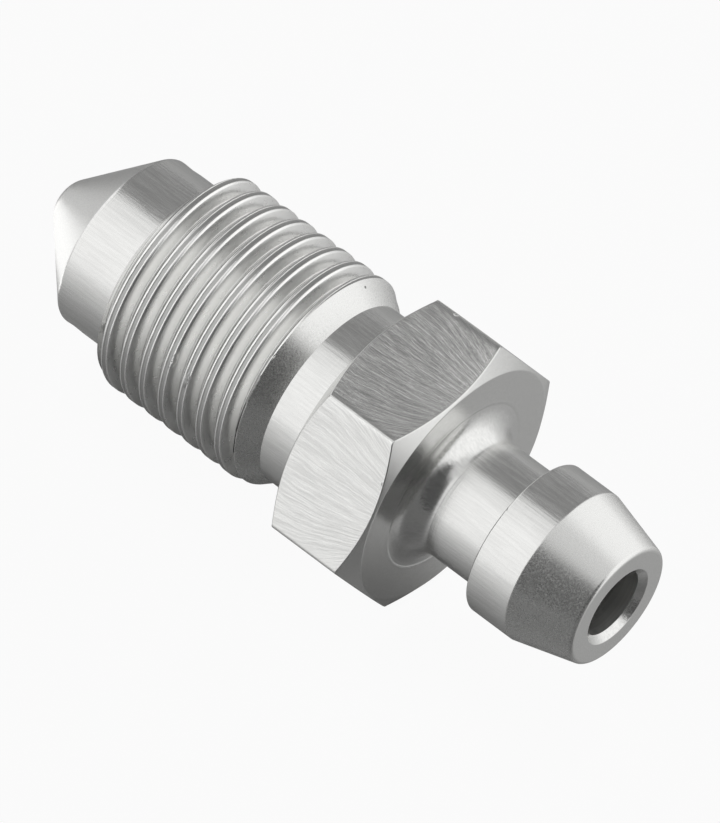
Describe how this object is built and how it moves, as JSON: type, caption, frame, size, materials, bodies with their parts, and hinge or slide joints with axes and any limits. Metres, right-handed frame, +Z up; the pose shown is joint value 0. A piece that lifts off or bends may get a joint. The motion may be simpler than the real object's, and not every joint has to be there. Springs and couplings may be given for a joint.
{
  "type": "bleeder screw",
  "caption": "Hexagon bleeder screw turned in one piece, with a cone seat, a metric fine thread, a barbed hose end and a blind passage that a cross hole opens.",
  "frame": {"origin": "on the ground, under the middle of the box around the screw as it lies", "axes": "+Z up; +X towards the hose end. The screw's own axis rises 3.51 degrees towards +X, because it lies on the rear edge of its lowest hexagon flat and on the front of its thread. Two hexagon flats face straight up and down, apart from that tilt."},
  "size_m": [0.0294, 0.0128, 0.0112],
  "materials": {
    "stainless_steel": "satin, turned and milled"
  },
  "bodies": {
    "root": {"bleeder_screw": "stainless_steel"}
  },
  "joints": []
}
